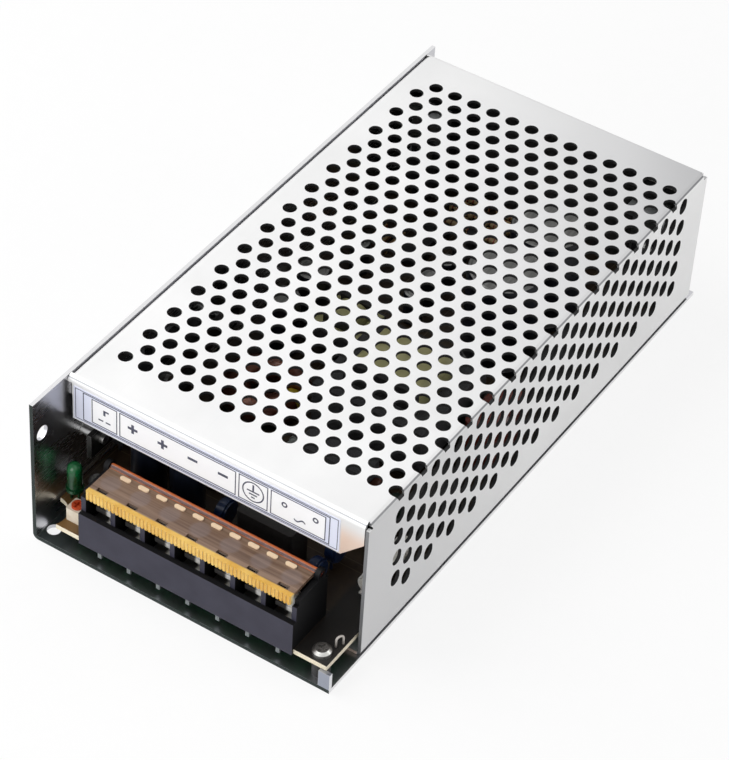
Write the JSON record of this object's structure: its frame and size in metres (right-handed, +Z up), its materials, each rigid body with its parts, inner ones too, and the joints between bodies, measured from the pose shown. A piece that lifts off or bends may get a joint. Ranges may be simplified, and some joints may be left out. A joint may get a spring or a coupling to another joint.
{
  "type": "mesh case switching power supply",
  "caption": "Switching power supply in a folded case with a perforated cover and an open bay that holds a screw terminal strip under a hinged amber cover.",
  "frame": {"origin": "under the middle of the base, on the face that the supply stands on", "axes": "+X across the case to the perforated wall, +Y from the terminals to the rear, +Z up"},
  "size_m": [0.098, 0.199, 0.05],
  "materials": {
    "chassis_metal": "bright mill-finish sheet",
    "cover_metal": "satin perforated sheet",
    "label_film": "printed film label",
    "zinc_screws": "bright zinc plate",
    "amber_film": "thin insulating film",
    "board": "glass-fibre board with solder mask",
    "strip_black": "moulded, slightly satin",
    "tinned_metal": "tin plate",
    "terminal_steel": "nickel-plated screw",
    "amber_plastic": "clear amber moulding",
    "lamp_green": "tinted diffused lens",
    "trimmer_white": "moulded",
    "rotor_orange": "moulded",
    "ferrite": "ground ferrite",
    "bobbin_black": "moulded phenolic",
    "yellow_tape": "polyester tape",
    "core_yellow": "coated powder core",
    "copper_wire": "enamelled copper wire",
    "capacitor_sleeve": "shrink sleeve, bare aluminium top",
    "film_grey": "moulded box",
    "film_red": "dipped film capacitor",
    "ceramic_blue": "dipped ceramic disc",
    "fuse_ceramic": "ceramic tube with metal caps",
    "ceramic_dark": "coated disc",
    "package_black": "moulded epoxy",
    "sink_metal": "plain extruded",
    "pad_grey": "silicone pad",
    "resistor_tan": "lacquered, banded",
    "resistor_grey": "flameproof coat"
  },
  "bodies": {
    "case": {"chassis": "chassis_metal", "mesh_cover": "cover_metal", "terminal_label": "label_film", "cover_side_screws": "zinc_screws", "cover_base_screws": "zinc_screws", "insulating_sheet": "amber_film", "board_standoffs": "bobbin_black", "circuit_board": "board", "board_screws": "zinc_screws", "terminal_housing": "strip_black", "terminal_contacts": "tinned_metal", "power_lamp": "lamp_green", "trimmer_body": "trimmer_white", "transformer_core": "ferrite", "transformer_bobbin": "bobbin_black", "transformer_winding": "yellow_tape", "driver_core": "ferrite", "driver_bobbin": "bobbin_black", "driver_winding": "yellow_tape", "output_choke_core": "core_yellow", "output_choke_winding": "copper_wire", "filter_choke_core": "ferrite", "filter_choke_windings": "copper_wire", "bulk_capacitors": "capacitor_sleeve", "output_capacitors": "capacitor_sleeve", "small_capacitors": "capacitor_sleeve", "film_capacitors": "film_grey", "coupling_capacitor": "film_red", "safety_capacitors": "ceramic_blue", "fuse_tube": "fuse_ceramic", "fuse_clips": "tinned_metal", "thermistor": "ceramic_dark", "bridge_rectifier": "package_black", "heat_sinks": "sink_metal", "switching_transistors": "package_black", "transistor_screws": "zinc_screws", "output_rectifiers": "package_black", "insulating_pads": "pad_grey", "clamp_bar": "sink_metal", "clamp_bar_screws": "zinc_screws", "control_chip": "package_black", "signal_resistors": "resistor_tan", "power_resistors": "resistor_grey", "signal_transistors": "package_black"},
    "hinged_cover": {"terminal_cover": "amber_plastic"},
    "rotor": {"trimmer_rotor": "rotor_orange"},
    "clamp_1": {"clamp_plate_1": "tinned_metal"},
    "screw_1": {"terminal_screw_1": "terminal_steel"},
    "clamp_2": {"clamp_plate_2": "tinned_metal"},
    "screw_2": {"terminal_screw_2": "terminal_steel"},
    "clamp_3": {"clamp_plate_3": "tinned_metal"},
    "screw_3": {"terminal_screw_3": "terminal_steel"},
    "clamp_4": {"clamp_plate_4": "tinned_metal"},
    "screw_4": {"terminal_screw_4": "terminal_steel"},
    "clamp_5": {"clamp_plate_5": "tinned_metal"},
    "screw_5": {"terminal_screw_5": "terminal_steel"},
    "clamp_6": {"clamp_plate_6": "tinned_metal"},
    "screw_6": {"terminal_screw_6": "terminal_steel"},
    "clamp_7": {"clamp_plate_7": "tinned_metal"},
    "screw_7": {"terminal_screw_7": "terminal_steel"}
  },
  "joints": [
    {"name": "terminal_cover_hinge", "type": "hinge", "parent": "case", "child": "hinged_cover", "pos_m": [0.0016, -0.0861, 0.02665], "axis": [-1, 0, 0], "range_deg": [0, 85]},
    {"name": "trimmer_turn", "type": "hinge", "parent": "case", "child": "rotor", "pos_m": [-0.03845, -0.0929, 0.0126], "axis": [0, 0, 1], "range_deg": [-130, 130]},
    {"name": "clamp_1_lift", "type": "slide", "parent": "case", "child": "clamp_1", "axis": [0, 0, 1], "range_m": [-0.0024, 0]},
    {"name": "screw_1_turn", "type": "hinge", "parent": "clamp_1", "child": "screw_1", "pos_m": [-0.0278, -0.092, 0.0191], "axis": [0, 0, 1], "range_deg": [-1470, 20]},
    {"name": "clamp_2_lift", "type": "slide", "parent": "case", "child": "clamp_2", "axis": [0, 0, 1], "range_m": [-0.0024, 0]},
    {"name": "screw_2_turn", "type": "hinge", "parent": "clamp_2", "child": "screw_2", "pos_m": [-0.018, -0.092, 0.0191], "axis": [0, 0, 1], "range_deg": [-1470, 20]},
    {"name": "clamp_3_lift", "type": "slide", "parent": "case", "child": "clamp_3", "axis": [0, 0, 1], "range_m": [-0.0024, 0]},
    {"name": "screw_3_turn", "type": "hinge", "parent": "clamp_3", "child": "screw_3", "pos_m": [-0.0082, -0.092, 0.0191], "axis": [0, 0, 1], "range_deg": [-1470, 20]},
    {"name": "clamp_4_lift", "type": "slide", "parent": "case", "child": "clamp_4", "axis": [0, 0, 1], "range_m": [-0.0024, 0]},
    {"name": "screw_4_turn", "type": "hinge", "parent": "clamp_4", "child": "screw_4", "pos_m": [0.0016, -0.092, 0.0191], "axis": [0, 0, 1], "range_deg": [-1470, 20]},
    {"name": "clamp_5_lift", "type": "slide", "parent": "case", "child": "clamp_5", "axis": [0, 0, 1], "range_m": [-0.0024, 0]},
    {"name": "screw_5_turn", "type": "hinge", "parent": "clamp_5", "child": "screw_5", "pos_m": [0.0114, -0.092, 0.0191], "axis": [0, 0, 1], "range_deg": [-1470, 20]},
    {"name": "clamp_6_lift", "type": "slide", "parent": "case", "child": "clamp_6", "axis": [0, 0, 1], "range_m": [-0.0024, 0]},
    {"name": "screw_6_turn", "type": "hinge", "parent": "clamp_6", "child": "screw_6", "pos_m": [0.0212, -0.092, 0.0191], "axis": [0, 0, 1], "range_deg": [-1470, 20]},
    {"name": "clamp_7_lift", "type": "slide", "parent": "case", "child": "clamp_7", "axis": [0, 0, 1], "range_m": [-0.0024, 0]},
    {"name": "screw_7_turn", "type": "hinge", "parent": "clamp_7", "child": "screw_7", "pos_m": [0.031, -0.092, 0.0191], "axis": [0, 0, 1], "range_deg": [-1470, 20]}
  ],
  "couplings": [
    {"joint": "screw_1_turn", "follows": "clamp_1_lift", "rad_per_m": 10472},
    {"joint": "screw_2_turn", "follows": "clamp_2_lift", "rad_per_m": 10472},
    {"joint": "screw_3_turn", "follows": "clamp_3_lift", "rad_per_m": 10472},
    {"joint": "screw_4_turn", "follows": "clamp_4_lift", "rad_per_m": 10472},
    {"joint": "screw_5_turn", "follows": "clamp_5_lift", "rad_per_m": 10472},
    {"joint": "screw_6_turn", "follows": "clamp_6_lift", "rad_per_m": 10472},
    {"joint": "screw_7_turn", "follows": "clamp_7_lift", "rad_per_m": 10472}
  ]
}
